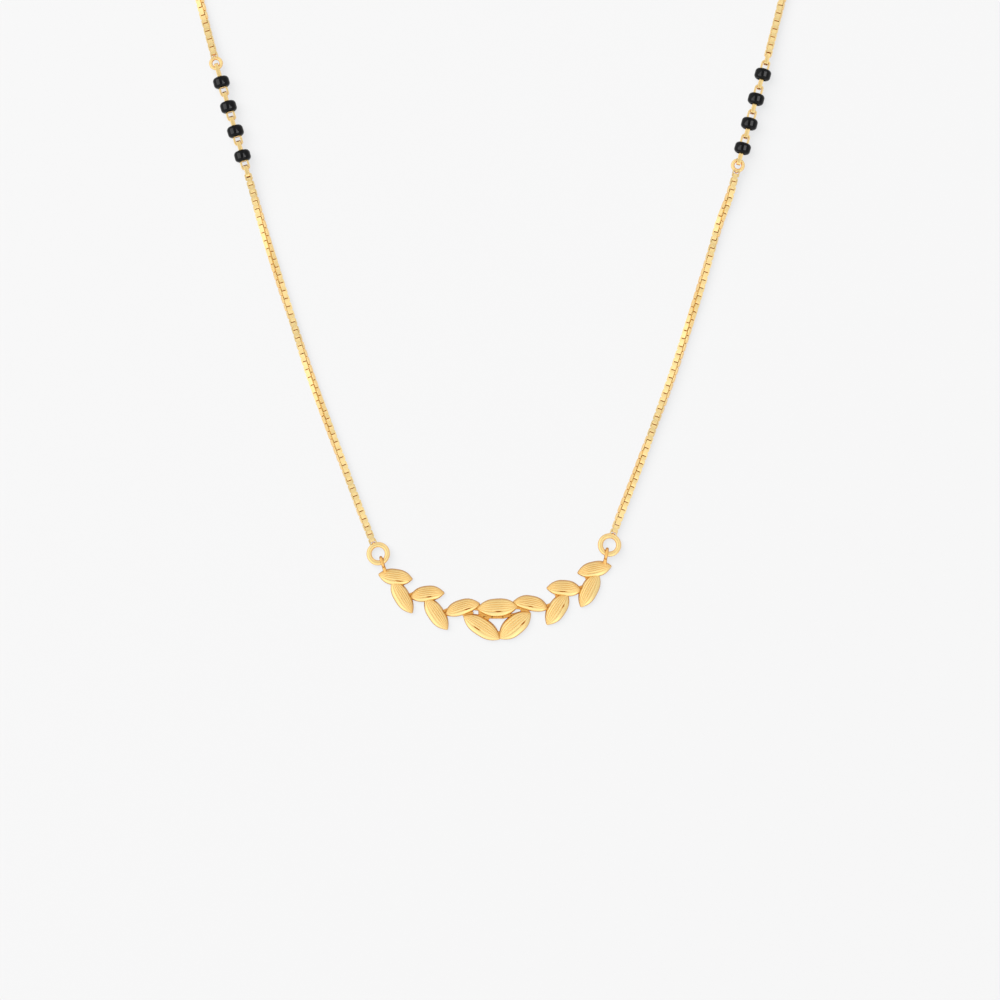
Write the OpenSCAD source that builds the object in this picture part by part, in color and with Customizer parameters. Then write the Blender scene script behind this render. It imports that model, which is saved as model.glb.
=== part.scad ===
// Mangalsutra: a gold box chain with two groups of black beads and a leaf spray pendant.
// It lies flat on the floor, z = 0, with the pendant towards -Y and the clasp towards +Y.

/* [Chain] */
// Width of the box chain across its links
chain_w = 0.95; // [0.9:0.05:1]
// Thickness of the gold strip that a link is bent from
strip_t = 0.17; // [0.14:0.01:0.18]
// Width of that strip
strip_w = 0.5; // [0.4:0.02:0.54]
// Wire of the two round rings that hold the clasp
end_wire = 0.34; // [0.3:0.02:0.36]
// Radius of those rings, to the middle of their wire
end_r = 0.6; // [0.58:0.01:0.64]
// Length of the two flat-sided links that join the chain to the beads
end_link_l = 1.6; // [1.58:0.01:1.62]

/* [Beads] */
// Diameter of a bead
bead_d = 2.12; // [2:0.02:2.2]
// Length of a bead along its pin
bead_l = 1.48; // [1.3:0.02:1.5]
// Radius of a bead's rounded edges
bead_round = 0.5; // [0.2:0.05:0.5]
// Diameter of the hole through a bead
bead_hole = 0.9; // [0.6:0.05:1]
// Diameter of the hole's flared ends, which take the pin's loops
bead_flare = 1.34; // [1.32:0.01:1.4]
// Distance from one bead to the next
bead_pitch = 3.31; // [3.31:0.01:3.34]

/* [Bead pins] */
// Thickness of the strip that the loops at a pin's ends are bent from
loop_t = 0.25; // [0.22:0.01:0.26]
// Width of that strip
loop_strip = 0.52; // [0.44:0.02:0.54]
// Width of a loop over its two legs
loop_w = 1.14; // [1.14:0.01:1.16]
// Diameter of the pin inside the bead
pin_d = 0.4; // [0.3:0.02:0.5]
// Distance from the middle of a bead to where its loops start, inside the flared hole
loop_from = 0.5; // [0.5:0.01:0.52]
// Distance from the middle of a bead to the far end of its lying loop
lying_reach = 1.85; // [1.84:0.005:1.86]
// The same distance to the far end of its upright loop
upright_reach = 2.03; // [2.02:0.005:2.04]
// That distance where the loop holds the left bead ring
ring_reach_left = 2.53; // [2.5:0.01:2.55]
// That distance where the loop holds the right bead ring
ring_reach_right = 2.25; // [2.2:0.01:2.3]

/* [Jump rings] */
// Wire of the two rings that carry the pendant
pendant_wire = 0.68; // [0.6:0.02:0.7]
// Radius of those rings, to the middle of their wire
pendant_ring_r = 1.19; // [1.18:0.01:1.2]
// Wire of the small ring at one end of each bead group
bead_ring_wire = 0.46; // [0.42:0.02:0.48]
// Radius of those rings, to the middle of their wire
bead_ring_r = 0.67; // [0.66:0.01:0.69]

/* [Pendant] */
// Height of the upright edge round each leaf
leaf_edge = 0.3; // [0.2:0.05:0.4]
// Height of a leaf's crown above that edge
leaf_crown = 0.72; // [0.4:0.02:0.9]
// Depth of the engraved veins
vein_cut = 0.07; // [0.02:0.01:0.1]
// Thickness of the stems behind the leaves
stem_h = 0.45; // [0.3:0.05:0.5]
// Wire of the end loops
loop_wire = 0.42; // [0.38:0.01:0.42]
// Radius of the end loops, to the middle of their wire
loop_r = 0.61; // [0.6:0.01:0.62]
// Width of the loops' feet on the leaves
foot_w = 0.6; // [0.4:0.05:0.7]

/* [Clasp] */
// Wire of the hook
hook_wire = 0.7; // [0.6:0.05:0.72]
// Radius of the hook's two bends, to the middle of its wire
hook_r = 1.5; // [1.3:0.1:1.8]

/* [Hidden] */

gold = [0.93, 0.72, 0.33];
black = [0.06, 0.06, 0.07];

// Heights: chains and leaves rest on the floor, and the rings lean between what they join
bead_z = bead_d / 2;
loop_z = loop_r + loop_wire / 2;
pendant_ring_z = 0.678;
pendant_ring_lean = 6.85;
bead_ring_lean = 5.2;
bead_ring_z = bead_z - bead_ring_r * sin(bead_ring_lean);
hook_z = 0.78;

// Distance from the middle of an end ring or link to the end of its chain
end_gap = 0.85;
// Distance from the far end of a loop to the middle of the bead ring that it holds
ring_from_loop = 0.05;
// How far a soldered link is sunk into its ring
solder = 0.3;
wire_fn = 24;

// Middle of the leaf spray
pendant_at = [0.84, -92.96, 0];
// Middles of the pendant's rings, and the way each one's chain leaves it, in degrees
pendant_ring_left_at = [-14.65, -85.98, pendant_ring_z];
pendant_ring_left_turn = 115;
pendant_ring_right_at = [15.4, -84.84, pendant_ring_z];
pendant_ring_right_turn = 71;
// The bead nearest the clasp in each group, and the way the group runs from it, in degrees
bead_left_at = [-34.99, -24.785, bead_z];
bead_left_turn = -74;
bead_right_at = [35.28, -23.77, bead_z];
bead_right_turn = -105.3;
// The way the chain leaves each bead ring, in degrees
bead_ring_left_turn = 103;
bead_ring_right_turn = -104;

// Leaves: middle x and y, length, turn in degrees, bulge of the veined side, bulge of the banded side
leaf_x = 0;
leaf_y = 1;
leaf_l = 2;
leaf_turn = 3;
leaf_vein = 4;
leaf_band = 5;
LEAVES = [
    [-13.27, 3.97, 4.6, -8, 1.03, 1.12],
    [-12.37, 1.4, 5.15, -59, 1.0, 1.12],
    [-9.17, 1.58, 4.7, 7, 1.22, 0.84],
    [-7.93, -0.81, 5.2, -55.5, 1.04, 1.16],
    [-4.58, -0.23, 4.95, 17, 1.25, 0.78],
    [-2.07, -2.61, 5.75, -33, 1.27, 1.14],
    [0, 0, 5.45, 3, 1.14, 1.25],
    [2.29, -2.37, 5.4, 40, 1.38, 1.25],
    [4.32, 0.23, 4.85, -11, 1.3, 0.7],
    [7.77, -0.22, 5, 56.5, 1.21, 1.17],
    [8.69, 2.33, 4.75, -4, 1.22, 0.91],
    [11.96, 2.25, 5.1, 63, 1.14, 1.12],
    [12.62, 4.91, 4.65, 12, 1.07, 1.0]];

// Height across a leaf, from its banded edge at 0 to its veined edge at 1, as a share of the crown
groove = 0.3;
CROSS = [[0, 0], [0.04, 0.36], [0.14, 0.62], [0.25, 0.78], [groove, 0.62], [0.35, 0.9], [0.5, 1],
    [0.72, 0.96], [0.88, 0.76], [0.96, 0.42], [1, 0]];
VEINS = [0.45, 0.57, 0.69, 0.81];
vein_half = 0.03;
leaf_steps = 11;
tip_cut = 0.07;
band_fullness = 2.75;
vein_fullness = 2.7;

// Stems behind the leaves: x and y of both ends, and width
STEMS = [
    [-13.2, 3.2, -12.4, 2.5, 0.7],
    [-8.8, 1.0, -8.25, 0.3, 0.6],
    [-4.35, -0.85, -3.6, -1.25, 0.6],
    [7.85, 1.6, 8.4, 0.95, 0.8],
    [11.75, 3.95, 12.3, 3.3, 0.8],
    [3.3, -0.2, 3.85, -0.75, 0.8],
    [-3.45, -1.05, -1.75, -1.2, 0.45],
    [-1.75, -1.2, -0.7, -1.26, 0.45],
    [-0.7, -1.26, 0.7, -1.26, 0.45],
    [0.7, -1.26, 1.75, -1.02, 0.45],
    [1.75, -1.02, 2.7, -0.84, 0.4],
    [2, -0.05, 2.9, -0.1, 0.35],
    [-3.75, -0.8, -3.3, -0.72, 0.4],
    [-2.3, -0.5, -2.3, -0.8, 0.4],
    [-2.9, -0.25, -2.4, -0.3, 0.3],
    [-2.15, -0.8, -1.5, -1.1, 0.45],
    [-1.6, -1.42, -1.25, -1.5, 0.4],
    [0.1, -3.4, 0.4, -3.4, 0.6],
    [-11.75, 1.45, -10.9, 1.85, 0.4],
    [-7.15, -0.6, -6.3, -0.2, 0.4],
    [6.2, 0.1, 7.1, 0.45, 0.4],
    [10.5, 2.5, 11.4, 2.8, 0.4],
    [-2.8, 0.2, -1.75, -0.1, 0.5],
    [-0.05, -3.75, 0.6, -3.75, 0.4]];

// End loops: x, y, the way the loop points to its leaf in degrees, and the length of its foot
LOOPS = [[-14.97, 5.91, -73, 0.9], [14.155, 7, -100, 0.84]];

// Routes of the four chains, from the pendant to the beads and from the beads to the clasp
ROUTE_LEFT_LOWER = [[-15.63, -83.91, 0.475], [-16.85, -80.7, 0.475], [-18.6, -76, 0.475],
    [-21, -69.6, 0.475], [-23.4, -63, 0.475], [-25.7, -56, 0.475], [-27.8, -49.5, 0.475],
    [-29.8, -43, 0.475], [-30.8, -39.4, 0.7], [-31.45, -37.115, 0.98]];
ROUTE_RIGHT_LOWER = [[16.14, -82.67, 0.475], [17.1, -80.1, 0.475], [18.7, -76, 0.475], [21.1, -69.6, 0.475],
    [23.5, -63, 0.475], [25.8, -56, 0.475], [27.8, -49.5, 0.475], [29.7, -43, 0.475],
    [30.95, -39.6, 0.64], [31.65, -37.17, 0.86]];
ROUTE_LEFT_UPPER = [[-36.085, -20.69, 0.86], [-36.8, -18.1, 0.64], [-37.7, -14.6, 0.475],
    [-39.5, -7.5, 0.475], [-41.5, 1, 0.475], [-43.4, 10, 0.475], [-45, 19, 0.475], [-46.3, 28, 0.475],
    [-47.1, 36, 0.475], [-47.5, 43, 0.475], [-47.5, 50, 0.475], [-46.7, 56.7, 0.475],
    [-44.9, 63.5, 0.475], [-42.1, 70, 0.475], [-38.3, 76.1, 0.475], [-33.4, 81.7, 0.475],
    [-27.8, 86.5, 0.475], [-21.7, 90.3, 0.475], [-15.6, 92.9, 0.475], [-10.6, 94.3, 0.475],
    [-8.4, 94.7, 0.6], [-5.6, 95.15, 0.74]];
ROUTE_RIGHT_UPPER = [[36.031, -20.968, 0.98], [36.75, -18.2, 0.7], [37.7, -14.6, 0.475],
    [39.5, -7.5, 0.475], [41.5, 1, 0.475], [43.4, 10, 0.475], [45, 19, 0.475], [46.3, 28, 0.475],
    [47.1, 36, 0.475], [47.5, 43, 0.475], [47.5, 50, 0.475], [46.7, 56.7, 0.475],
    [44.9, 63.5, 0.475], [42.1, 70, 0.475], [38.3, 76.1, 0.475], [33.4, 81.7, 0.475],
    [27.8, 86.5, 0.475], [21.7, 90.3, 0.475], [15.6, 92.9, 0.475], [10.6, 94.3, 0.475],
    [8.4, 94.7, 0.6], [5.6, 95.15, 0.74]];

// Middle of the hook, and half the distance between its two bends
hook_at = [0, 95.28, hook_z];
hook_half = 4.76 - hook_r;

function unit(v) = v / norm(v);
function last(list) = list[len(list) - 1];

// Direction of a route at point i, and the eight points of the chain's section there
function route_way(route, i) =
    unit(route[min(i + 1, len(route) - 1)] - route[max(i - 1, 0)]);
function chain_section(route, i) =
    let (way = route_way(route, i), across = unit([-way[1], way[0], 0]), up = cross(way, across))
    [for (k = [0:7]) route[i] + chain_w / 2 / cos(22.5)
        * (cos(45 * k + 22.5) * across + sin(45 * k + 22.5) * up)];

// Closed skin over a row of rings of points, all with the same number of points
module skin(rings) {
    n = len(rings[0]);
    rows = len(rings);
    sides = [for (r = [0:rows - 2], k = [0:n - 1])
        let (a = r * n + k, b = r * n + (k + 1) % n) each [[a, a + n, b], [b, a + n, b + n]]];
    caps = [[for (k = [0:n - 1]) k], [for (k = [n - 1:-1:0]) (rows - 1) * n + k]];
    polyhedron(points = [for (ring = rings) each ring], faces = concat(sides, caps), convexity = 6);
}

module chain(route) {
    color(gold) skin([for (i = [0:len(route) - 1]) chain_section(route, i)]);
}

module wire_ring(r, wire) {
    rotate_extrude($fn = 2 * wire_fn) translate([r, 0]) circle(d = wire, $fn = wire_fn);
}

// Places its children upright off the end of a chain: before is the route's point next to its end
module off_end(end, before) {
    way = unit(end - before);
    color(gold) translate(end + end_gap * way) rotate([90, 0, atan2(way[1], way[0])]) children();
}

module off_start_of(route) {
    off_end(route[0], route[1]) children();
}

module off_end_of(route) {
    off_end(last(route), route[len(route) - 2]) children();
}

module end_ring() {
    wire_ring(end_r, end_wire);
}

module end_link() {
    strip_link(end_link_l, loop_w, loop_t, loop_strip, 0.36);
}

// Lying ring with the chain's last link soldered to it, leaning down towards that chain
module chain_ring(r, wire, turn, lean) {
    color(gold) rotate([0, 0, turn]) rotate([0, lean, 0]) {
        wire_ring(r, wire);
        translate([r + (wire + chain_w) / 2 - solder, 0, 0]) box_link();
    }
}

// One lying link of the chain, a square frame bent from strip
module box_link() {
    strip_link(chain_w, chain_w, strip_t, strip_w, 0.12);
}

// Lying frame of strip, length along X, its corners rounded to the given radius outside
module strip_link(length, width, thickness, strip, corner) {
    translate([0, 0, -strip / 2]) linear_extrude(strip) difference() {
        rounded_box(length, width, corner);
        rounded_box(length - 2 * thickness, width - 2 * thickness, max(corner - thickness, 0));
    }
}

module rounded_box(length, width, corner) {
    x = length / 2 - corner;
    y = width / 2 - corner;
    square([length, 2 * y], center = true);
    square([2 * x, width], center = true);
    if (corner > 0) {
        for (sx = [-x, x], sy = [-y, y]) translate([sx, sy]) circle(r = corner, $fn = 24);
    }
}

module pendant_ring_left() {
    translate(pendant_ring_left_at)
        chain_ring(pendant_ring_r, pendant_wire, pendant_ring_left_turn, pendant_ring_lean);
}

module pendant_ring_right() {
    translate(pendant_ring_right_at)
        chain_ring(pendant_ring_r, pendant_wire, pendant_ring_right_turn, pendant_ring_lean);
}

// Places its children in a bead group, along from the middle of the bead nearest the clasp
module along_group(at, turn, along) {
    translate(at + along * [cos(turn), sin(turn), 0]) children();
}

module on_left_group(i) {
    along_group(bead_left_at, bead_left_turn, (i - 1) * bead_pitch)
        rotate([0, 0, bead_left_turn]) children();
}

module on_right_group(i) {
    along_group(bead_right_at, bead_right_turn, (i - 1) * bead_pitch)
        rotate([0, 0, bead_right_turn]) children();
}

// The left group's ring is above its first bead, and the right group's is below its last
module bead_ring_left() {
    along_group(bead_left_at, bead_left_turn, -ring_reach_left - ring_from_loop)
        translate([0, 0, bead_ring_z - bead_z])
            chain_ring(bead_ring_r, bead_ring_wire, bead_ring_left_turn, bead_ring_lean);
}

module bead_ring_right() {
    along_group(bead_right_at, bead_right_turn, 3 * bead_pitch + ring_reach_right + ring_from_loop)
        translate([0, 0, bead_ring_z - bead_z])
            chain_ring(bead_ring_r, bead_ring_wire, bead_ring_right_turn, bead_ring_lean);
}

module bead() {
    half = bead_l / 2;
    core_r = bead_d / 2 - bead_round;
    color(black) rotate([0, 90, 0]) rotate_extrude($fn = 64) difference() {
        union() {
            translate([0, -half]) square([core_r, bead_l]);
            translate([0, -half + bead_round]) square([bead_d / 2, bead_l - 2 * bead_round]);
            for (end = [-1, 1]) {
                translate([core_r, end * (half - bead_round)]) circle(r = bead_round, $fn = 48);
            }
        }
        bead_bore(half);
    }
}

// Section of the hole: straight in the middle, and flared towards both ends
module bead_bore(half) {
    flare_from = 0.34;
    flare_to = loop_from - 0.03;
    polygon([[0, -half - 0.1], [bead_flare / 2, -half - 0.1], [bead_flare / 2, -flare_to],
        [bead_hole / 2, -flare_from], [bead_hole / 2, flare_from], [bead_flare / 2, flare_to],
        [bead_flare / 2, half + 0.1], [0, half + 0.1]]);
}

// Pin with a lying loop at one end and an upright loop at the other, flat_end is 1 or -1
module bead_pin(flat_end, reach = upright_reach) {
    color(gold) rotate([0, 0, flat_end == 1 ? 0 : 180]) {
        rotate([0, 90, 0]) cylinder(d = pin_d, h = 2 * (loop_from + loop_t / 2), center = true, $fn = wire_fn);
        pin_loop(lying_reach);
        rotate([0, 0, 180]) rotate([90, 0, 0]) pin_loop(reach);
    }
}

module pin_loop(reach) {
    translate([(loop_from + reach) / 2, 0, 0]) strip_link(reach - loop_from, loop_w, loop_t, loop_strip, 0.36);
}

module left_pin(i) {
    bead_pin(1, i == 1 ? ring_reach_left : upright_reach);
}

module right_pin(i) {
    bead_pin(-1, i == 4 ? ring_reach_right : upright_reach);
}

// Distance from the line between a leaf's tips to its edge, which is fuller for a higher power
function edge_bulge(x, length, bulge, fullness) = bulge * (1 - pow(abs(2 * x / length - 1), fullness));
// Share of the vein's cut at a place across the leaf
function vein_share(v) = len([for (vein = VEINS) if (abs(v - vein) < 0.001) vein]) > 0 ? 1 : 0;
ACROSS = concat([for (c = CROSS) if (c[0] < VEINS[0] - vein_half) c[0]],
    [for (vein = VEINS) each [vein - vein_half, vein, vein + vein_half]],
    [for (c = CROSS) if (c[0] > VEINS[3] + vein_half) c[0]]);

// One cross-section of a leaf, x along it from its left tip
function leaf_section(leaf, x) =
    let (low = -edge_bulge(x, leaf[leaf_l], leaf[leaf_band], band_fullness),
        high = edge_bulge(x, leaf[leaf_l], leaf[leaf_vein], vein_fullness),
        swell = pow(sin(180 * x / leaf[leaf_l]), 0.6))
    concat([[x - leaf[leaf_l] / 2, low, 0], [x - leaf[leaf_l] / 2, high, 0]],
        [for (k = [len(ACROSS) - 1:-1:0]) let (v = ACROSS[k]) [x - leaf[leaf_l] / 2, low + (high - low) * v,
            leaf_edge + swell * (leaf_crown * lookup(v, CROSS) - vein_cut * vein_share(v))]]);

module leaf(row) {
    length = row[leaf_l];
    start = acos(1 - 2 * tip_cut / length);
    step = (180 - 2 * start) / leaf_steps;
    translate([row[leaf_x], row[leaf_y], 0]) rotate([0, 0, row[leaf_turn]])
        skin([for (k = [0:leaf_steps]) leaf_section(row, length / 2 * (1 - cos(start + k * step)))]);
}

module stem(row) {
    hull() {
        translate([row[0], row[1], 0]) cylinder(d = row[4], h = stem_h, $fn = 16);
        translate([row[2], row[3], 0]) cylinder(d = row[4], h = stem_h, $fn = 16);
    }
}

// Upright loop with a foot that slopes down to its leaf
module end_loop(row) {
    translate([row[0], row[1], 0]) rotate([0, 0, row[2]]) {
        translate([0, 0, loop_z]) rotate([90, 0, 0])
            rotate_extrude($fn = 20) translate([loop_r, 0]) circle(d = loop_wire, $fn = 10);
        hull() {
            translate([loop_r, 0, loop_z]) sphere(d = loop_wire, $fn = 12);
            translate([loop_r + row[3], 0, stem_h]) sphere(d = foot_w, $fn = 12);
        }
    }
}

module leaf_pendant() {
    color(gold) translate(pendant_at) {
        for (row = LEAVES) leaf(row);
        for (row = STEMS) stem(row);
        for (row = LOOPS) end_loop(row);
    }
}

// Hook of two bends that open to opposite sides, joined by a straight shank and laid flat
module hook_clasp() {
    lean = asin(hook_r / hook_half);
    bend = 260;
    shank = 2 * sqrt(hook_half * hook_half - hook_r * hook_r) + 0.3;
    color(gold) translate(hook_at) for (side = [0, 180]) rotate([0, 0, side]) {
        translate([-hook_half, 0, 0]) {
            rotate([0, 0, 90 - lean]) rotate_extrude(angle = bend, $fn = 96)
                translate([hook_r, 0]) circle(d = hook_wire, $fn = wire_fn);
            rotate([0, 0, 90 - lean + bend]) translate([hook_r, 0, 0]) sphere(d = hook_wire + 0.1, $fn = 48);
        }
    }
    color(gold) translate(hook_at) rotate([0, 0, -lean]) rotate([0, 90, 0])
        cylinder(d = hook_wire - 0.04, h = shank, center = true, $fn = wire_fn);
}

leaf_pendant();
pendant_ring_left();
pendant_ring_right();
chain(ROUTE_LEFT_LOWER);  // chain_left_lower
chain(ROUTE_LEFT_UPPER);  // chain_left_upper
chain(ROUTE_RIGHT_LOWER);  // chain_right_lower
chain(ROUTE_RIGHT_UPPER);  // chain_right_upper
for (i = [1:4]) {
    on_left_group(i) bead();
    on_right_group(i) bead();
    on_left_group(i) left_pin(i);
    on_right_group(i) right_pin(i);
}
bead_ring_left();
bead_ring_right();
off_end_of(ROUTE_LEFT_LOWER) end_link();  // end_link_left
off_start_of(ROUTE_RIGHT_UPPER) end_link();  // end_link_right
off_end_of(ROUTE_LEFT_UPPER) end_ring();  // end_ring_left
off_end_of(ROUTE_RIGHT_UPPER) end_ring();  // end_ring_right
hook_clasp();
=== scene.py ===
import math
from collections import namedtuple

import bmesh
import bpy
import numpy as np
from mathutils import Matrix, Vector


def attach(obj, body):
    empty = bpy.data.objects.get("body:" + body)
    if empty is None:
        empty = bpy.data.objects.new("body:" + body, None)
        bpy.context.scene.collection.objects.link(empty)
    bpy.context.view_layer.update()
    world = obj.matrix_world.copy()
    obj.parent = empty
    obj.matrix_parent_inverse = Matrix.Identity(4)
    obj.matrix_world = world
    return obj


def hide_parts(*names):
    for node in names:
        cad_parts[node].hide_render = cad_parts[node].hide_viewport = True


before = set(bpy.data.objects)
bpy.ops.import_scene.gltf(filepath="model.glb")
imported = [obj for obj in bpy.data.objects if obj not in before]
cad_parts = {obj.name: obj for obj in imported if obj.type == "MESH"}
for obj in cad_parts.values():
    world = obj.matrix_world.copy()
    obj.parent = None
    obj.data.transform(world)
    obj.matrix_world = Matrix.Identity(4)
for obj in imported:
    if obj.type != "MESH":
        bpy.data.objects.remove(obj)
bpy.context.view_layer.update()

# The table: a pale, matt surface that the necklace lies on, in a white room whose left, right and front
# walls glow a little. One big soft box at the upper left throws a faint shadow to the right and below.
mm = 0.001
view_middle = Vector((1.17, -79.0, 0.5)) * mm
view_width = 130 * mm
lens = 100
sensor = 36
camera_data = bpy.data.cameras.new("catalogue_camera")
camera_data.lens = lens
camera_data.sensor_width = sensor
camera_data.clip_start = 0.01
camera_data.clip_end = 30
camera = bpy.data.objects.new("catalogue_camera", camera_data)
camera.location = view_middle + Vector((0, 0, view_width * lens / sensor))
bpy.context.scene.collection.objects.link(camera)
bpy.context.scene.camera = camera
bpy.context.scene.view_settings.view_transform = "Standard"
bpy.context.scene.view_settings.look = "None"


class Shade:
    """A shader socket that takes part in Python sums."""

    def __init__(self, tree, socket=None):
        self.tree = tree
        self.socket = socket

    def node(self, kind, settings=(), inputs=(), output=0):
        """A node of a kind: its settings are set first, then its sockets' values or links."""
        made = self.tree.nodes.new(kind)
        for name, value in dict(settings).items():
            if name == "stops":
                ramp = made.color_ramp.elements
                while len(ramp) < len(value):
                    ramp.new(0.5)
                for stop, (place, colour) in zip(ramp, value):
                    stop.position = place
                    stop.color = colour
            else:
                setattr(made, name, value)
        for name, value in dict(inputs).items():
            if isinstance(value, Shade):
                self.tree.links.new(value.socket, made.inputs[name])
            else:
                made.inputs[name].default_value = value
        return Shade(self.tree, made.outputs[output])

    def math(self, operation, *values):
        return self.node("ShaderNodeMath", {"operation": operation}, dict(enumerate(values)))

    def __add__(self, other):
        return self.math("ADD", self, other)

    def __sub__(self, other):
        return self.math("SUBTRACT", self, other)

    def __mul__(self, other):
        return self.math("MULTIPLY", self, other)

    def __rsub__(self, other):
        return self.math("SUBTRACT", other, self)

    __radd__ = __add__
    __rmul__ = __mul__

    def clamp(self):
        return self.node("ShaderNodeMath", {"operation": "MULTIPLY", "use_clamp": True}, {0: self, 1: 1.0})

    def mix(self, low, high):
        return self.node("ShaderNodeMix", {"data_type": "RGBA"}, {0: self, 6: low, 7: high}, 2)

    def place(self, name="Object"):
        names = ("Generated", "Normal", "UV", "Object")
        return self.node("ShaderNodeTexCoord", (), (), names.index(name))

    def attribute(self, name):
        return self.node("ShaderNodeAttribute", {"attribute_name": name}, (), 2)

    def sides(self):
        """How far a surface turns away from facing up or down, 0 on top and 1 on a side: the mask for
        painted shade on steep sides.
        """
        split = self.node("ShaderNodeSeparateXYZ", (), {0: self.place("Normal")}, 2)
        return ((0.8 - split.math("ABSOLUTE", split)) * 2.0).clamp()

    def noise(self, vector, scale, detail=3.0, roughness=0.5):
        return self.node("ShaderNodeTexNoise", (),
                         {"Vector": vector, "Scale": scale, "Detail": detail, "Roughness": roughness})

    def bump(self, height, distance, strength=1.0):
        return self.node("ShaderNodeBump", (),
                         {"Height": height, "Distance": distance, "Strength": strength})


def new_material(name):
    """An empty material with its shader, and a Shade to build on."""
    material = bpy.data.materials.new(name)
    material.use_nodes = True
    shader = material.node_tree.nodes["Principled BSDF"]
    return material, shader, Shade(material.node_tree)


def feed(shader, name, value):
    value.tree.links.new(value.socket, shader.inputs[name])


table_size = 2.4
table_below = 0.02
table_mesh = bmesh.new()
bmesh.ops.create_grid(table_mesh, x_segments=4, y_segments=4, size=table_size / 2)
table_data = bpy.data.meshes.new("table")
table_mesh.to_mesh(table_data)
table_mesh.free()
table_data.transform(Matrix.Translation((view_middle.x, view_middle.y, -table_below * mm)))
table = bpy.data.objects.new("table", table_data)
bpy.context.scene.collection.objects.link(table)

table_material, table_shader, table_shade = new_material("table_paper")
paper = table_shade.noise(table_shade.place(), 900, 4.0)
feed(table_shader, "Base Color", paper.mix((0.746, 0.738, 0.736, 1), (0.748, 0.74, 0.738, 1)))
table_shader.inputs["Roughness"].default_value = 0.9
table_shader.inputs["Specular IOR Level"].default_value = 0.0
table_data.materials.append(table_material)

world = bpy.data.worlds.new("studio")
world.use_nodes = True
room = world.node_tree.nodes["Background"]
room.inputs["Color"].default_value = (0.975, 0.99, 1.0, 1)
sky = Shade(world.node_tree)
east, north, up = (sky.node("ShaderNodeSeparateXYZ", (), {0: sky.place("Generated")}, k) for k in range(3))
# Each wall's glow fades in over some breadth of the room, and the hood is a dim patch of ceiling that
# the upper faces of the metal mirror.
left_wall = ((-0.3 - east) * 2.2).clamp()
right_wall = ((east - 0.15) * 5.0).clamp() * ((0.75 - east) * 5.0).clamp()
front_wall = ((-0.5 - north) * 3.0).clamp()
hood = ((0.9976 * up - 0.07 * east - 0.97) * 36.0).clamp()
glow = 0.87 + 0.5 * left_wall + 0.3 * right_wall + 0.4 * front_wall - 0.45 * hood
world.node_tree.links.new(glow.socket, room.inputs["Strength"])
world.cycles.sampling_method = "NONE"
bpy.context.scene.world = world


def soft_box(name, place, size, power, colour=(1, 1, 1), mirrored=False):
    """A square studio lamp at a place in metres from the middle of the view, turned to it."""
    lamp = bpy.data.lights.new(name, "AREA")
    lamp.shape = "SQUARE"
    lamp.size = size
    lamp.energy = power
    lamp.color = colour
    stand = bpy.data.objects.new(name, lamp)
    stand.location = view_middle + Vector(place)
    stand.rotation_euler = Vector(place).to_track_quat("Z", "Y").to_euler()
    stand.visible_glossy = mirrored
    bpy.context.scene.collection.objects.link(stand)
    return stand


soft_box("soft_box_left", (-1.7, 1.3, 2.7), size=3.6, power=44, colour=(1, 0.985, 0.96))

# Leaf pendant: thirteen leaves cast in one piece in 18 karat gold. Each has lines engraved over its upper
# part, a groove, and a polished band along its lower edge, and short stems join the leaves behind.
pendant_at = Vector((0.84, -92.96, 0))
# Each leaf's middle, length and turn, its half widths on the engraved and on the banded side, and the depth
# of the dark slit in its groove, with the part of the leaf's length that the slit runs along.
leaf_rows = [
    (-13.27, 3.97, 4.6, -8, 1.03, 1.12, 0.08, 0.49, 0.75),
    (-12.37, 1.4, 5.15, -59, 1.0, 1.12, 0, 0, 0),
    (-9.17, 1.58, 4.7, 7, 1.22, 0.84, 0.13, 0.46, 0.64),
    (-7.93, -0.81, 5.2, -55.5, 1.04, 1.16, 0, 0, 0),
    (-4.58, -0.23, 4.95, 17, 1.25, 0.78, 0.11, 0.52, 0.74),
    (-2.07, -2.61, 5.75, -33, 1.27, 1.14, 0.1, 0.31, 0.53),
    (0, 0, 5.45, 3, 1.14, 1.25, 0.13, 0.42, 0.61),
    (2.29, -2.37, 5.4, 40, 1.38, 1.25, 0.14, 0.6, 0.78),
    (4.32, 0.23, 4.85, -11, 1.3, 0.7, 0.08, 0.4, 0.59),
    (7.77, -0.22, 5, 56.5, 1.21, 1.17, 0.13, 0.58, 0.73),
    (8.69, 2.33, 4.75, -4, 1.22, 0.91, 0.08, 0.33, 0.57),
    (11.96, 2.25, 5.1, 63, 1.14, 1.12, 0, 0, 0),
    (12.62, 4.91, 4.65, 12, 1.07, 1.0, 0, 0, 0)]
leaf_edge = 0.3
leaf_crown = 0.72
leaf_swell = 0.6
vein_cut = 0.055
vein_half = 0.03
veins = (0.45, 0.57, 0.69, 0.81)
groove = 0.3
groove_half = 0.04
slit_half = 0.034
slit_fade = 14
polish_fade = 0.03
leaf_profile = ((0, 0), (0.04, 0.36), (0.14, 0.62), (0.25, 0.78), (groove, 0.74), (0.35, 0.89), (0.5, 1),
                (0.72, 0.96), (0.88, 0.76), (0.96, 0.42), (1, 0))
leaf_steps = 44
tip_cut = 0.07
band_fullness = 2.75
vein_fullness = 2.7
vein_offsets = (-vein_half, -vein_half / 2, 0, vein_half / 2, vein_half)
shares_across = sorted({round(place, 4) for place in (
    0, 0.015, 0.04, 0.07, 0.1, 0.14, 0.18, 0.22, 0.25, 0.275, 0.288, groove, 0.312, 0.325, 0.35, 0.38, 0.41,
    *(vein + offset for vein in veins for offset in vein_offsets),
    0.51, 0.63, 0.75, 0.86, 0.9, 0.93, 0.96, 0.985, 1)})
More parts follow.
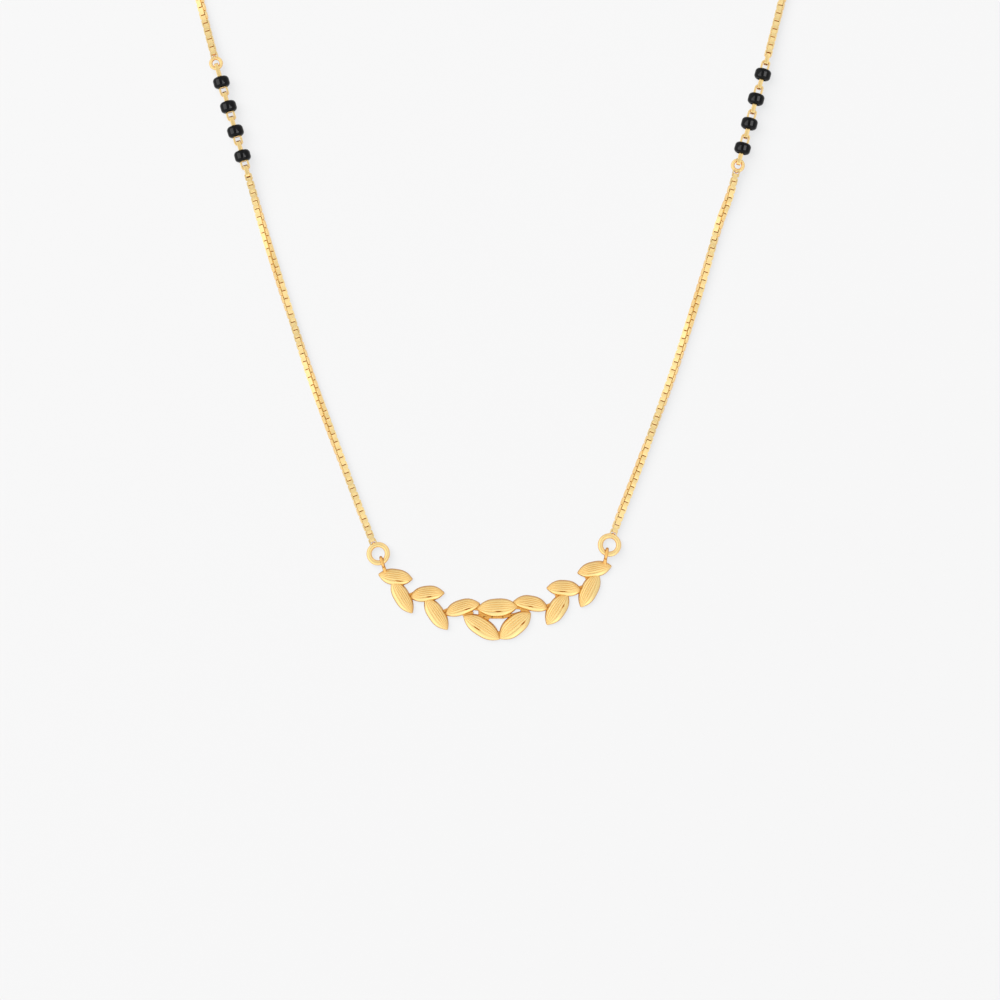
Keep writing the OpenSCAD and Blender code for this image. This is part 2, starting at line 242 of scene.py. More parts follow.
# How dark the painted shade makes the gold in the slit, the groove, the stems and the upright loops, beside
# an engraved line at 1.
slit_shade = 1.3
groove_shade = 0.45
stem_shade = 1.8
loop_shade = 1.2


def leaf_edge_at(along, length, bulge, fullness):
    """Distance from the line between a leaf's tips to its edge, fuller for a higher power."""
    return bulge * (1 - abs(2 * along / length - 1) ** fullness)


def add_leaf(spray, row):
    """A leaf: a grid that is raised to the profile, with a wall round it and a flat back."""
    x, y, length, turn, veined, banded, slit, slit_from, slit_to = row
    last = len(shares_across) - 1
    made = bmesh.ops.create_grid(spray, x_segments=leaf_steps, y_segments=last, size=1)
    polish = spray.verts.layers.float["polish"]
    hollow = spray.verts.layers.float["hollow"]
    along_leaf = spray.verts.layers.float["along"]
    across_leaf = spray.verts.layers.float["across"]
    tip = math.acos(1 - 2 * tip_cut / length)
    places, heights = zip(*leaf_profile)
    for vert in made["verts"]:
        angle = tip + (vert.co.x + 1) / 2 * (math.pi - 2 * tip)
        along = length / 2 * (1 - math.cos(angle))
        share = shares_across[round((vert.co.y + 1) / 2 * last)]
        low = -leaf_edge_at(along, length, banded, band_fullness)
        high = leaf_edge_at(along, length, veined, vein_fullness)
        swell = math.sin(math.pi * along / length) ** leaf_swell
        cut = max(0, 1 - min(abs(share - vein) for vein in veins) / vein_half)
        crown = leaf_crown * float(np.interp(share, places, heights))
        ends = min(1, max(0, slit_fade * min(along / length - slit_from, slit_to - along / length)))
        open_slit = ends * max(0, 1 - abs(share - groove) / slit_half)
        in_groove = max(0, 1 - abs(share - groove) / groove_half)
        height = leaf_edge + swell * (crown - vein_cut * cut) - slit * open_slit
        vert[polish] = min(1, max(0, (groove + polish_fade - share) / (2 * polish_fade)))
        # Painted shade darkens the engraved lines, the slit and the groove.
        vert[hollow] = max(cut, slit_shade * open_slit, groove_shade * in_groove)
        vert[along_leaf] = along
        vert[across_leaf] = share * (high - low)
        vert.co = (along - length / 2, low + (high - low) * share, height)
    border = {edge for vert in made["verts"] for edge in vert.link_edges if edge.is_boundary}
    wall = bmesh.ops.extrude_edge_only(spray, edges=list(border))["geom"]
    foot = [item for item in wall if isinstance(item, bmesh.types.BMVert)]
    for vert in foot:
        vert.co.z = 0
    rim = {edge for vert in foot for edge in vert.link_edges if edge.is_boundary}
    bmesh.ops.edgeloop_fill(spray, edges=list(rim))
    place = Matrix.Translation((x, y, 0)) @ Matrix.Rotation(math.radians(turn), 4, "Z")
    bmesh.ops.transform(spray, matrix=place, verts=made["verts"] + foot)


# Each stem's two ends and its width.
stem_rows = [
    (-13.2, 3.2, -12.4, 2.5, 0.7),
    (-8.8, 1.0, -8.25, 0.3, 0.6),
    (-4.35, -0.85, -3.6, -1.25, 0.6),
    (7.85, 1.6, 8.4, 0.95, 0.8),
    (11.75, 3.95, 12.3, 3.3, 0.8),
    (3.3, -0.2, 3.85, -0.75, 0.8),
    (-3.45, -1.05, -1.75, -1.2, 0.45),
    (-1.75, -1.2, -0.7, -1.26, 0.45),
    (-0.7, -1.26, 0.7, -1.26, 0.45),
    (0.7, -1.26, 1.75, -1.02, 0.45),
    (1.75, -1.02, 2.7, -0.84, 0.4),
    (2, -0.05, 2.9, -0.1, 0.35),
    (-3.75, -0.8, -3.3, -0.72, 0.4),
    (-2.3, -0.5, -2.3, -0.8, 0.4),
    (-2.9, -0.25, -2.4, -0.3, 0.3),
    (-2.15, -0.8, -1.5, -1.1, 0.45),
    (-1.6, -1.42, -1.25, -1.5, 0.4),
    (0.1, -3.4, 0.4, -3.4, 0.6),
    (-11.75, 1.45, -10.9, 1.85, 0.4),
    (-7.15, -0.6, -6.3, -0.2, 0.4),
    (6.2, 0.1, 7.1, 0.45, 0.4),
    (10.5, 2.5, 11.4, 2.8, 0.4),
    (-2.8, 0.2, -1.75, -0.1, 0.5),
    (-0.05, -3.75, 0.6, -3.75, 0.4)]
stem_h = 0.45
stem_soft = 0.14


def add_stem(spray, row):
    """A bar with round ends and a soft upper edge."""
    x1, y1, x2, y2, width = row
    reach = math.hypot(x2 - x1, y2 - y1)
    made = bmesh.ops.create_circle(spray, cap_ends=True, segments=24, radius=width / 2)
    hollow = spray.verts.layers.float["hollow"]
    # The whole stem is darkened with painted shade.
    for vert in made["verts"]:
        vert[hollow] = stem_shade
        if vert.co.x > 0.0001:
            vert.co.x += reach
    face = made["verts"][0].link_faces[0]
    raised = bmesh.ops.extrude_face_region(spray, geom=[face])["geom"]
    top = [item for item in raised if isinstance(item, bmesh.types.BMVert)]
    for vert in top:
        vert.co.z = stem_h
    top_edges = {edge for vert in top for edge in vert.link_edges if all(v in top for v in edge.verts)}
    soft = bmesh.ops.bevel(spray, geom=list(top_edges), affect="EDGES", offset=stem_soft, segments=4,
                           profile=0.5, material=-1)
    body = {vert for vert in made["verts"] + top if vert.is_valid} | set(soft["verts"])
    place = Matrix.Translation((x1, y1, 0)) @ Matrix.Rotation(math.atan2(y2 - y1, x2 - x1), 4, "Z")
    bmesh.ops.transform(spray, matrix=place, verts=list(body))


def wire_ring(radius, wire, round_steps=20, ring_steps=56):
    """A closed ring of round wire about Z, as a mesh of its own in millimetres."""
    ring = bmesh.new()
    upright = Matrix.Translation((radius, 0, 0)) @ Matrix.Rotation(math.pi / 2, 4, "X")
    section = bmesh.ops.create_circle(ring, segments=round_steps, radius=wire / 2, matrix=upright)
    bmesh.ops.spin(ring, geom=section["verts"] + ring.edges[:], axis=(0, 0, 1), angle=2 * math.pi,
                   steps=ring_steps, use_merge=True)
    bmesh.ops.recalc_face_normals(ring, faces=ring.faces)
    made = bpy.data.meshes.new("ring")
    ring.to_mesh(made)
    ring.free()
    return made


rod_round = 0.42


def wire_rod(wire, start, end, end_wire=None, round_steps=20):
    """A straight wire with round ends that reaches a little past two points. It may widen to its end."""
    rod = bmesh.new()
    run = Vector(end) - Vector(start)
    wide = end_wire or wire
    bmesh.ops.create_cone(rod, cap_ends=True, segments=round_steps, radius1=wire / 2, radius2=wide / 2,
                          depth=run.length + wide / 2)
    ends = [edge for edge in rod.edges if abs(edge.verts[0].co.z - edge.verts[1].co.z) < 0.0001]
    bmesh.ops.bevel(rod, geom=ends, affect="EDGES", offset=wire * rod_round, segments=5, profile=0.5,
                    material=-1)
    middle = Matrix.Translation((Vector(start) + Vector(end)) / 2)
    turned = run.to_track_quat("Z", "Y").to_matrix().to_4x4()
    bmesh.ops.transform(rod, matrix=middle @ turned, verts=rod.verts)
    made = bpy.data.meshes.new("rod")
    rod.to_mesh(made)
    rod.free()
    return made


def join(piece, part, place=Matrix.Identity(4)):
    """Adds a part to a piece, at its place."""
    part.transform(place)
    piece.from_mesh(part)
    bpy.data.meshes.remove(part)


def finish_piece(name, piece, material, nodes, sharp=50, place=Matrix.Identity(4)):
    """Makes a piece of a bmesh in millimetres, and puts it in place of its CAD nodes."""
    data = bpy.data.meshes.new(name)
    piece.to_mesh(data)
    piece.free()
    data.transform(Matrix.Scale(mm, 4) @ place)
    data.shade_smooth()
    data.set_sharp_from_angle(angle=math.radians(sharp))
    data.materials.append(material)
    shown = bpy.data.objects.new(name, data)
    bpy.context.scene.collection.objects.link(shown)
    shown.visible_diffuse = False
    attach(shown, "root")
    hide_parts(*nodes)
    return shown


loop_wire = 0.42
loop_r = 0.61
foot_w = 0.6
# The upright loop at each end of the spray: its place, its turn and how far its foot runs into the leaf.
loop_rows = [(-14.97, 5.91, -73, 0.9), (14.155, 7, -100, 0.84)]
loop_z = loop_r + loop_wire / 2
spray = bmesh.new()
for layer in ("polish", "hollow", "along", "across"):
    spray.verts.layers.float.new(layer)
for row in leaf_rows:
    add_leaf(spray, row)
for row in stem_rows:
    add_stem(spray, row)
leaves_and_stems = len(spray.verts)
for x, y, turn, foot in loop_rows:
    on_leaf = Matrix.Translation((x, y, 0)) @ Matrix.Rotation(math.radians(turn), 4, "Z")
    upright = Matrix.Translation((0, 0, loop_z)) @ Matrix.Rotation(math.pi / 2, 4, "X")
    join(spray, wire_ring(loop_r, loop_wire), on_leaf @ upright)
    join(spray, wire_rod(loop_wire, (loop_r, 0, loop_z), (loop_r + foot, 0, stem_h), foot_w), on_leaf)
# The upright loops are darkened all over with painted shade.
for vert in list(spray.verts)[leaves_and_stems:]:
    vert[spray.verts.layers.float["hollow"]] = loop_shade

cast_gold, cast_shader, shade = new_material("cast_gold")
polish = shade.attribute("polish")
hollow = shade.attribute("hollow")
place = shade.place()
cloudy = shade.noise(place, 1400, 3.0)
grain = shade.noise(place, 16000, 3.0)
brushed = shade.noise(shade.node("ShaderNodeCombineXYZ", (), {
    0: shade.attribute("along") * 1.1, 1: shade.attribute("across") * 14.0}), 2.0, 4.0)
# Painted shade: the darker gold mixed into the engraved lines, slit, groove, stems and loops.
hollow_shade_gold = (0.90, 0.46, 0.11, 1)
# Painted shade on the leaves' steep sides and edges.
painted_shade_on_walls = (0.56, 0.26, 0.07, 1)
tone = cloudy.mix((0.965, 0.69, 0.285, 1), (0.98, 0.73, 0.32, 1))
tone_with_hollow_shade = (0.55 * hollow).mix(tone, hollow_shade_gold)
feed(cast_shader, "Base Color", shade.sides().mix(tone_with_hollow_shade, painted_shade_on_walls))
cast_shader.inputs["Metallic"].default_value = 1.0
satin = 0.30 + 0.14 * brushed
feed(cast_shader, "Roughness", satin - polish * 0.14 + 0.05 * grain)
feed(cast_shader, "Normal", shade.bump(brushed * (1 - polish) * 2.0 + grain * 0.5, 0.01 * mm, 0.5))
finish_piece("leaf_spray", spray, cast_gold, ["leaf_pendant"], sharp=48,
             place=Matrix.Translation(pendant_at))

# Box chain: square links bent from flat gold strip and soldered shut, each one turned a quarter turn from
# the last. It runs from the pendant's rings to the beads and from the beads round to the clasp.
chain_w = 0.95
link_l = 1.06
strip_t = 0.17
strip_w = 0.57
link_corner = 0.2
link_pitch = 0.54
# How far a chain's last link, and the one before it, are from the middle of what closes the chain.
last_gap = {"soldered": 0, "ring": 0.69, "link": 0.805}
next_gap = {"soldered": 0, "ring": 1.285, "link": 1.345}
last_length = {"ring": 1.1 * chain_w, "link": chain_w}


def strip_link(length, width, thickness, strip, corner, corner_steps=2):
    """One lying link of bent strip, its hole along Z, as a mesh of its own in millimetres."""
    link = bmesh.new()
    bmesh.ops.create_cube(link, size=1)
    bmesh.ops.scale(link, vec=(length, width, strip), verts=link.verts)
    lids = [face for face in link.faces if abs(face.normal.z) > 0.5]
    bmesh.ops.delete(link, geom=lids, context="FACES_ONLY")
    corners = [edge for edge in link.edges if not edge.is_boundary]
    bmesh.ops.bevel(link, geom=corners, affect="EDGES", offset=corner, segments=corner_steps, profile=0.5,
                    material=-1)
    bmesh.ops.recalc_face_normals(link, faces=link.faces)
    if sum(face.normal.dot(face.calc_center_median()) for face in link.faces) < 0:
        bmesh.ops.reverse_faces(link, faces=link.faces)
    bmesh.ops.solidify(link, geom=link.faces[:], thickness=thickness)
    made = bpy.data.meshes.new("link")
    link.to_mesh(made)
    link.free()
    return made


def box_link(length=chain_w):
    return strip_link(length, chain_w, strip_t, strip_w, link_corner)


class Path:
    """A smooth line through points, in short steps, measured along its length."""

    def __init__(self, points, step=0.05):
        points = [Vector(point) for point in points]
        ends = [2 * points[0] - points[1]] + points + [2 * points[-1] - points[-2]]
        fine = []
        for before, start, end, after in zip(ends, ends[1:], ends[2:], ends[3:]):
            count = max(2, round((end - start).length / step))
            leave = (end - before) * (end - start).length / (end - before).length
            arrive = (after - start) * (end - start).length / (after - start).length
            for k in range(count):
                t = k / count
                fine.append((2 * t ** 3 - 3 * t ** 2 + 1) * start + (t ** 3 - 2 * t ** 2 + t) * leave
                            + (3 * t ** 2 - 2 * t ** 3) * end + (t ** 3 - t ** 2) * arrive)
        fine.append(points[-1])
        self.fine = np.array([tuple(point) for point in fine])
        steps = np.linalg.norm(np.diff(self.fine, axis=0), axis=1)
        self.far = np.concatenate([[0], np.cumsum(steps)])
        self.length = float(self.far[-1])

    def at(self, far):
        return Vector([float(np.interp(far, self.far, self.fine[:, k])) for k in range(3)])

    def way(self, far, reach=0.3):
        return (self.at(far + reach) - self.at(far - reach)).normalized()


def lay_chain(name, points, start_kind, end_kind, twists):
    """Links along a path, whose ends are soldered links or the middles of end rings or end links.

    The twists say how many degrees the chain is rolled at some lengths along it.
    """
    path = Path(points)
    twist_places, twist_turns = zip(*twists)
    start = next_gap[start_kind]
    end = path.length - next_gap[end_kind]
    between = round((end - start) / link_pitch)
    # The number of quarter turns is odd or even as the links at the two ends need it.
    if (between % 2 == 1) != ((start_kind == "soldered") != (end_kind == "soldered")):
        between += 1
    first_lies = start_kind == "soldered"
    links = bmesh.new()
    for k in range(between + 1):
        # A soldered link is made with its ring.
        if (k == 0 and start_kind == "soldered") or (k == between and end_kind == "soldered"):
            continue
        far = start + (end - start) * k / between
        roll = math.radians(float(np.interp(far, twist_places, twist_turns)))
        add_link(links, path.at(far), path.way(far), roll, (k % 2 == 0) == first_lies, link_l)
    for kind, far in ((start_kind, last_gap[start_kind]), (end_kind, path.length - last_gap[end_kind])):
        if kind != "soldered":
            add_link(links, path.at(far), path.way(far), 0, True, last_length[kind])
    finish_piece("box_" + name, links, chain_gold, [name], sharp=40)


def add_link(links, middle, way, roll, lies, length):
    """A link across the path, rolled about it and lifted as far as its lowest corner then needs."""
    across = Vector((-way.y, way.x, 0)).normalized()
    up = way.cross(across)
    turned_up = math.cos(roll) * up + math.sin(roll) * across
    turned_across = way.cross(-turned_up)
    high, low = abs(math.cos(roll)), abs(math.sin(roll))
    lift = (chain_w * max(high, low) + strip_w * min(high, low) - chain_w) / 2
    side, top = (turned_across, turned_up) if lies else (-turned_up, turned_across)
    place = Matrix.Identity(4)
    for k, axis in enumerate((way, side, top, middle + Vector((0, 0, lift)))):
        for row in range(3):
            place[row][k] = axis[row]
    join(links, box_link(length), place)


chain_gold, chain_shader, shade = new_material("chain_gold")
place = shade.place()
cloudy = shade.noise(place, 1100, 2.0)
grain = shade.noise(place, 14000, 3.0)
# Painted shade: the links' steep sides are mixed towards a deeper gold.
painted_shade_on_link_sides = (0.99, 0.67, 0.29, 1)
tone = cloudy.mix((0.985, 0.725, 0.32, 1), (1.0, 0.765, 0.36, 1))
feed(chain_shader, "Base Color", shade.sides().mix(tone, painted_shade_on_link_sides))
chain_shader.inputs["Metallic"].default_value = 1.0
feed(chain_shader, "Roughness", 0.32 + 0.12 * grain)
feed(chain_shader, "Normal", shade.bump(grain, 0.008 * mm, 0.5))

# Where the rings are that the chains start from. Each leans a little, down to its soldered link.
ChainRing = namedtuple("ChainRing", "middle turn radius wire lean")
pendant_wire = 0.68
pendant_ring_r = 1.19
pendant_ring_z = 0.678
pendant_lean = 6.85
bead_ring_wire = 0.46
bead_ring_r = 0.67
bead_lean = 5.2
solder = 0.3
pendant_ring_left = ChainRing(
    Vector((-14.65, -85.98, pendant_ring_z)), 115, pendant_ring_r, pendant_wire, pendant_lean)
pendant_ring_right = ChainRing(
    Vector((15.4, -84.84, pendant_ring_z)), 71, pendant_ring_r, pendant_wire, pendant_lean)
beads_a_side = 4
bead_z = 1.06
bead_pitch = 3.31
bead_left_at = Vector((-34.99, -24.785, bead_z))
bead_left_turn = -74
bead_right_at = Vector((35.28, -23.77, bead_z))
bead_right_turn = -105.3
ring_reach_left = 2.53
ring_reach_right = 2.25
ring_from_loop = 0.05
bead_ring_z = bead_z - bead_ring_r * math.sin(math.radians(bead_lean))


def heading(degrees):
    """A step of one millimetre along the table."""
    return Vector((math.cos(math.radians(degrees)), math.sin(math.radians(degrees)), 0))


def ring_place(ring):
    """Where a chain ring is, its soldered link towards +X."""
    return (Matrix.Translation(ring.middle) @ Matrix.Rotation(math.radians(ring.turn), 4, "Z")
            @ Matrix.Rotation(math.radians(ring.lean), 4, "Y"))


def link_reach(ring):
    return ring.radius + (ring.wire + chain_w) / 2 - solder


def soldered_link_at(ring):
    return ring_place(ring) @ Vector((link_reach(ring), 0, 0))


left_ring_middle = bead_left_at - heading(bead_left_turn) * (ring_reach_left + ring_from_loop)
left_ring_middle.z = bead_ring_z
group_length = (beads_a_side - 1) * bead_pitch
right_ring_middle = bead_right_at + heading(bead_right_turn) * (
    group_length + ring_reach_right + ring_from_loop)
right_ring_middle.z = bead_ring_z
bead_ring_left = ChainRing(left_ring_middle, 103, bead_ring_r, bead_ring_wire, bead_lean)
bead_ring_right = ChainRing(right_ring_middle, -104, bead_ring_r, bead_ring_wire, bead_lean)

# The chains' routes between their ends. They lie on the table, and rise to the beads and to the clasp.
chain_z = chain_w / 2
route_left_lower = [
    (-16.85, -80.7, chain_z), (-18.6, -76, chain_z), (-21, -69.6, chain_z), (-23.4, -63, chain_z),
    (-25.7, -56, chain_z), (-27.8, -49.5, chain_z), (-29.8, -43, chain_z), (-30.8, -39.4, 0.7),
    (-31.45, -37.115, 0.98)]
route_right_lower = [
    (17.1, -80.1, chain_z), (18.7, -76, chain_z), (21.1, -69.6, chain_z), (23.5, -63, chain_z),
    (25.8, -56, chain_z), (27.8, -49.5, chain_z), (29.7, -43, chain_z), (30.95, -39.6, 0.64)]
route_upper = [
    (39.5, -7.5, chain_z), (41.5, 1, chain_z), (43.4, 10, chain_z), (45, 19, chain_z), (46.3, 28, chain_z),
    (47.1, 36, chain_z), (47.5, 43, chain_z), (47.5, 50, chain_z), (46.7, 56.7, chain_z),
    (44.9, 63.5, chain_z), (42.1, 70, chain_z), (38.3, 76.1, chain_z), (33.4, 81.7, chain_z),
    (27.8, 86.5, chain_z), (21.7, 90.3, chain_z), (15.6, 92.9, chain_z), (10.6, 94.3, chain_z),
    (8.4, 94.7, 0.6), (5.6, 95.15, 0.74)]
route_left_upper = [(-36.8, -18.1, 0.64), (-37.7, -14.6, chain_z), *((-x, y, z) for x, y, z in route_upper)]
route_right_upper = [(36.031, -20.968, 0.98), (36.75, -18.2, 0.7), (37.7, -14.6, chain_z), *route_upper]
end_gap = 0.85


def beyond(end, before):
    """Middle of the end ring past the end of a route."""
    end, before = Vector(end), Vector(before)
    return end + end_gap * (end - before).normalized()


end_ring_r = 0.6
end_wire = 0.34
# Each ring or link that closes a chain, with the end of the chain's route and the point before it.
end_rings = {
    "end_link_left": (route_left_lower[-1], route_left_lower[-2]),
    "end_link_right": (route_right_upper[0], route_right_upper[1]),
    "end_ring_left": (route_left_upper[-1], route_left_upper[-2]),
    "end_ring_right": (route_right_upper[-1], route_right_upper[-2])}
lay_chain("chain_left_lower",
          [soldered_link_at(pendant_ring_left), *route_left_lower, beyond(*end_rings["end_link_left"])],
          "soldered", "link",
          [(0, 0), (4, -12), (8, -3), (19.3, -45), (29.1, -90), (39.6, -135), (48, -180)])
lay_chain("chain_right_lower",
          [soldered_link_at(pendant_ring_right), *route_right_lower, soldered_link_at(bead_ring_right)],
          "soldered", "soldered",
          [(0, 0), (4, -22), (10, -25), (13.6, 0), (20, 20), (25.5, 22), (29.6, 45), (32.8, 65), (39.4, 90),
           (48, 180)])
lay_chain("chain_left_upper",
          [soldered_link_at(bead_ring_left), *route_left_upper, beyond(*end_rings["end_ring_left"])],
          "soldered", "ring",
          [(0, 0), (4, 0), (8, 36), (30, 10), (60, -30), (90, 0)])
lay_chain("chain_right_upper",
          [beyond(*end_rings["end_link_right"]), *route_right_upper[1:],
           beyond(*end_rings["end_ring_right"])],
          "link", "ring",
          [(0, 0), (4, 0), (10, 20), (30, -20), (60, 30), (90, 0)])

# Rings: round gold wire, soldered shut. The two big ones carry the pendant, a small one is at one end of
# each bead group, and these four have the chain's last link soldered on. The others close the chain's ends.
wire_gold, wire_shader, shade = new_material("wire_gold")
place = shade.place()
cloudy = shade.noise(place, 900, 2.0)
grain = shade.noise(place, 12000, 3.0)
# Painted shade: the wire's steep sides are mixed towards a darker gold.
painted_shade_on_wire_sides = (0.86, 0.48, 0.16, 1)
tone = cloudy.mix((0.985, 0.70, 0.29, 1), (1.0, 0.75, 0.34, 1))
feed(wire_shader, "Base Color", shade.sides().mix(tone, painted_shade_on_wire_sides))
wire_shader.inputs["Metallic"].default_value = 1.0
feed(wire_shader, "Roughness", 0.27 + 0.12 * grain)
feed(wire_shader, "Normal", shade.bump(grain, 0.008 * mm, 0.5))

loop_strip = 0.52
loop_w = 1.14
loop_t = 0.25
loop_corner = 0.36
loop_rim = 0.05
rim_fold = 1.2


def loop_link(length):
    """A bigger link of bent strip with round corners and softened edges, as a mesh of its own."""
    soft = bmesh.new()
    made = strip_link(length, loop_w, loop_t, loop_strip, loop_corner, corner_steps=6)
    soft.from_mesh(made)
    bpy.data.meshes.remove(made)
    rims = [edge for edge in soft.edges if len(edge.link_faces) == 2 and edge.calc_face_angle() > rim_fold
            and abs(edge.verts[0].co.z - edge.verts[1].co.z) < 0.0001]
    bmesh.ops.bevel(soft, geom=rims, affect="EDGES", offset=loop_rim, segments=3, profile=0.5, material=-1)
    made = bpy.data.meshes.new("loop")
    soft.to_mesh(made)
    soft.free()
    return made


solder_d = 0.52
solder_short = 0.2
for name, ring, node in (
        ("jump_ring_left", pendant_ring_left, "pendant_ring_left"),
        ("jump_ring_right", pendant_ring_right, "pendant_ring_right"),
        ("small_ring_left", bead_ring_left, "bead_ring_left"),
        ("small_ring_right", bead_ring_right, "bead_ring_right")):
    piece = bmesh.new()
    at_ring = ring_place(ring)
    reach = link_reach(ring)
    join(piece, wire_ring(ring.radius, ring.wire, round_steps=24, ring_steps=72), at_ring)
    join(piece, box_link(), at_ring @ Matrix.Translation((reach, 0, 0)))
    join(piece, wire_rod(solder_d, (ring.radius, 0, 0), (reach - solder_short, 0, 0)), at_ring)
    finish_piece(name, piece, wire_gold, [node], sharp=40)

end_link_l = 1.6
for name, (end, before) in end_rings.items():
    way = Vector(end) - Vector(before)
    upright = (Matrix.Translation(beyond(end, before)) @ Matrix.Rotation(math.atan2(way.y, way.x), 4, "Z")
               @ Matrix.Rotation(math.pi / 2, 4, "X"))
    piece = bmesh.new()
    if "link" in name:
        join(piece, loop_link(end_link_l), upright)
    else:
        join(piece, wire_ring(end_ring_r, end_wire), upright)
    finish_piece("closing_" + name.removeprefix("end_"), piece, wire_gold, [name])

# Beads: black glass, cut from drawn tube and tumbled till their edges are round. Each sits on a gold wire
# pin with an eye at both ends, one lying and one upright, and each eye holds the next pin's.
bead_d = 2.12
bead_l = 1.48
bead_round = 0.5
round_share = 0.98
bead_hole = 0.9
bead_flare = 1.34
flare_to = 0.47
hole_from = 0.34
# No bead is quite as long or lies quite as straight as the next one.
bead_uneven = 0.015
bead_tilt = 0.8
uneven_step = 2.3
pin_d = 0.4
pin_into_loop = 0.1
loop_from = 0.5
lying_reach = 1.85
upright_reach = 2.03

black_glass, glass_shader, shade = new_material("black_glass")
place = shade.place()
cloudy = shade.noise(place, 800, 2.0)
feed(glass_shader, "Base Color", cloudy.mix((0.0008, 0.0008, 0.001, 1), (0.0016, 0.0016, 0.0019, 1)))
feed(glass_shader, "Roughness", 0.07 + 0.06 * cloudy)
feed(glass_shader, "Normal", shade.bump(shade.noise(place, 1500, 2.0), 0.015 * mm, 0.4))
glass_shader.inputs["IOR"].default_value = 1.52
glass_shader.inputs["Specular IOR Level"].default_value = 0.13


def glass_bead(stretch):
    """A bead about X: its section's corners are rounded, then it is turned."""
    bead = bmesh.new()
    bore, flare, outer = bead_hole / 2, bead_flare / 2, bead_d / 2
    inset = flare - (outer - bead_round)
    rim = bead_l / 2 - bead_round + math.sqrt(bead_round ** 2 - inset ** 2)
    curve = (outer - flare) * bead_round / math.sqrt(bead_round ** 2 - inset ** 2)
    shoulder = rim - curve * inset / bead_round
    corners = [bead.verts.new((x, y, 0)) for x, y in (
        (-rim, flare), (-flare_to, flare), (-hole_from, bore), (hole_from, bore), (flare_to, flare),
        (rim, flare), (shoulder, outer), (-shoulder, outer))]
    bead.faces.new(corners)
    bmesh.ops.bevel(bead, geom=corners[6:], affect="VERTICES", offset=curve * round_share, segments=10,
                    profile=0.5, material=-1)
    bmesh.ops.delete(bead, geom=bead.faces[:], context="FACES_ONLY")
    bmesh.ops.spin(bead, geom=bead.verts[:] + bead.edges[:], axis=(1, 0, 0), angle=2 * math.pi, steps=56,
                   use_merge=True)
    bmesh.ops.recalc_face_normals(bead, faces=bead.faces)
    bmesh.ops.scale(bead, vec=(stretch, 1, 1), verts=bead.verts)
    return bead


def bead_pin(flat_end, reach):
    """A wire through the bead, with a lying loop ahead for a flat_end of 1, and an upright one behind."""
    pin = bmesh.new()
    rod_half = loop_from + pin_into_loop
    join(pin, wire_rod(pin_d, (-rod_half, 0, 0), (rod_half, 0, 0)))
    join(pin, loop_link(lying_reach - loop_from), Matrix.Translation(((loop_from + lying_reach) / 2, 0, 0)))
    join(pin, loop_link(reach - loop_from),
         Matrix.Translation((-(loop_from + reach) / 2, 0, 0)) @ Matrix.Rotation(math.pi / 2, 4, "X"))
    if flat_end < 0:
        bmesh.ops.rotate(pin, matrix=Matrix.Rotation(math.pi, 3, "Z"), verts=pin.verts)
    return pin


# Two small soft boxes light the beads alone, for the two soft highlights along each black bead.
lit_glass = bpy.data.collections.new("lit_glass")
for name, place, size, power in (("glass_box_left", (-1.1, 0, 1.0), 1.3, 22),
                                 ("glass_box_right", (0.75, 0, 1.25), 0.95, 19)):
    stand = soft_box(name, place, size, power, mirrored=True)
    stand.light_linking.receiver_collection = lit_glass

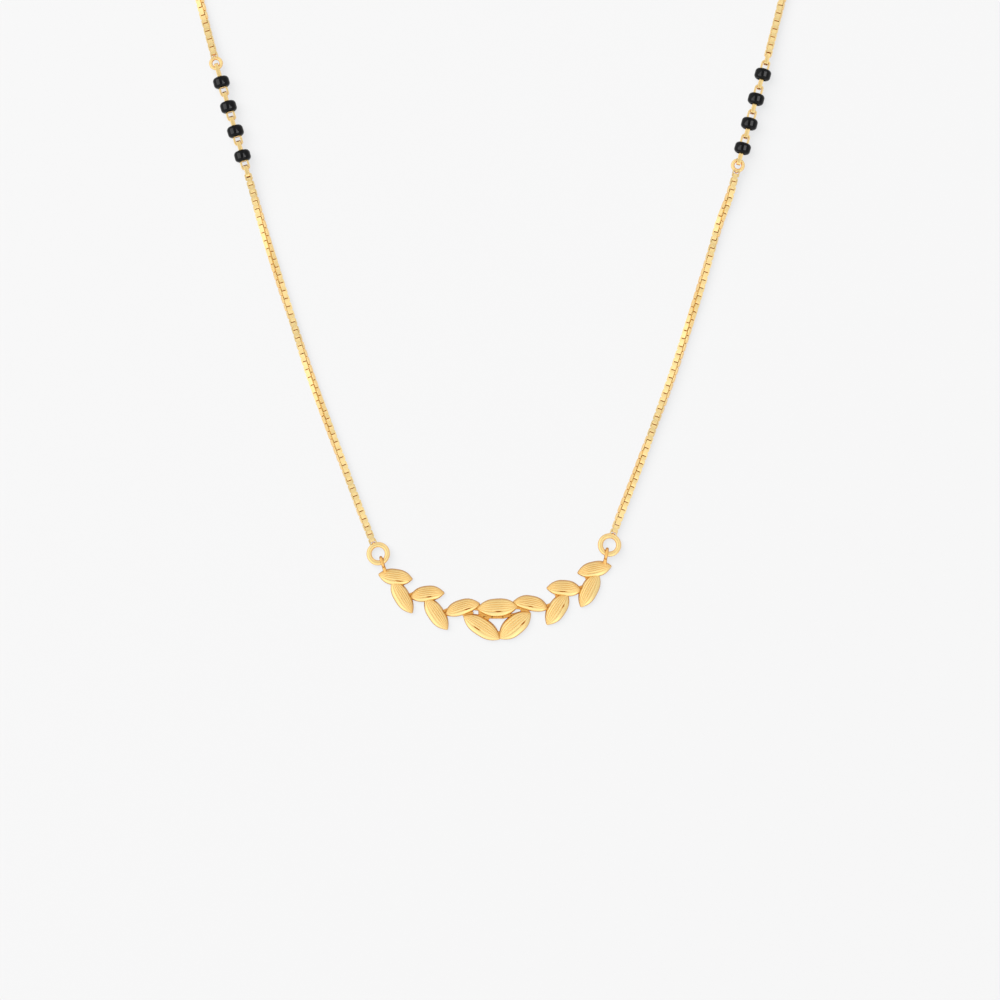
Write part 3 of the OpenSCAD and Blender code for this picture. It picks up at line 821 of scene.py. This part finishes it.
for side, first, turn, flat_end, ring_bead, reach in (
        ("left", bead_left_at, bead_left_turn, 1, 1, ring_reach_left),
        ("right", bead_right_at, bead_right_turn, -1, beads_a_side, ring_reach_right)):
    for number in range(1, beads_a_side + 1):
        middle = first + heading(turn) * (number - 1) * bead_pitch
        on_group = Matrix.Translation(middle) @ Matrix.Rotation(math.radians(turn), 4, "Z")
        wave = math.sin(number * uneven_step + turn)
        tilt = Matrix.Rotation(math.radians(bead_tilt * wave), 4, "Z")
        bead = finish_piece(f"glass_bead_{side}_{number}", glass_bead(1 + bead_uneven * wave), black_glass,
                            [f"bead_{side}_{number}"], sharp=60, place=on_group @ tilt)
        lit_glass.objects.link(bead)
        pin = bead_pin(flat_end, reach if number == ring_bead else upright_reach)
        finish_piece(f"wire_pin_{side}_{number}", pin, wire_gold,
                     [f"bead_pin_{side}_{number}"], place=on_group)

# Clasp: an S-shaped hook bent from one length of gold wire, with a ball melted on each end. The photo
# doesn't show the back of the neck, so it is a plain one.
hook_wire = 0.7
hook_r = 1.5
hook_reach = 4.76
hook_half = hook_reach - hook_r
hook_at = Vector((0, 95.28, 0.78))
hook_lean = math.asin(hook_r / hook_half)
hook_bend = math.radians(260)
hook_ball_r = hook_wire / 2 + 0.05
shank_wire = hook_wire - 0.01
shank_into_bend = 0.15
shank_half = math.sqrt(hook_half ** 2 - hook_r ** 2) + shank_into_bend
hook = bmesh.new()
for half_turn in (0, math.pi):
    bend = bmesh.new()
    upright = Matrix.Translation((hook_r, 0, 0)) @ Matrix.Rotation(math.pi / 2, 4, "X")
    section = bmesh.ops.create_circle(bend, segments=24, radius=hook_wire / 2, matrix=upright)
    bmesh.ops.spin(bend, geom=section["verts"] + bend.edges[:], axis=(0, 0, 1), angle=hook_bend, steps=56)
    bmesh.ops.holes_fill(bend, edges=bend.edges[:], sides=0)
    tip = Matrix.Rotation(hook_bend, 4, "Z") @ Matrix.Translation((hook_r, 0, 0))
    bmesh.ops.create_uvsphere(bend, u_segments=32, v_segments=20, radius=hook_ball_r, matrix=tip)
    bmesh.ops.recalc_face_normals(bend, faces=bend.faces)
    part = bpy.data.meshes.new("bend")
    bend.to_mesh(part)
    bend.free()
    join(hook, part, Matrix.Rotation(half_turn, 4, "Z") @ Matrix.Translation((-hook_half, 0, 0))
         @ Matrix.Rotation(math.pi / 2 - hook_lean, 4, "Z"))
join(hook, wire_rod(shank_wire, (-shank_half, 0, 0), (shank_half, 0, 0), round_steps=24),
     Matrix.Rotation(-hook_lean, 4, "Z"))
finish_piece("clasp_hook", hook, wire_gold, ["hook_clasp"],
             place=Matrix.Translation(hook_at))
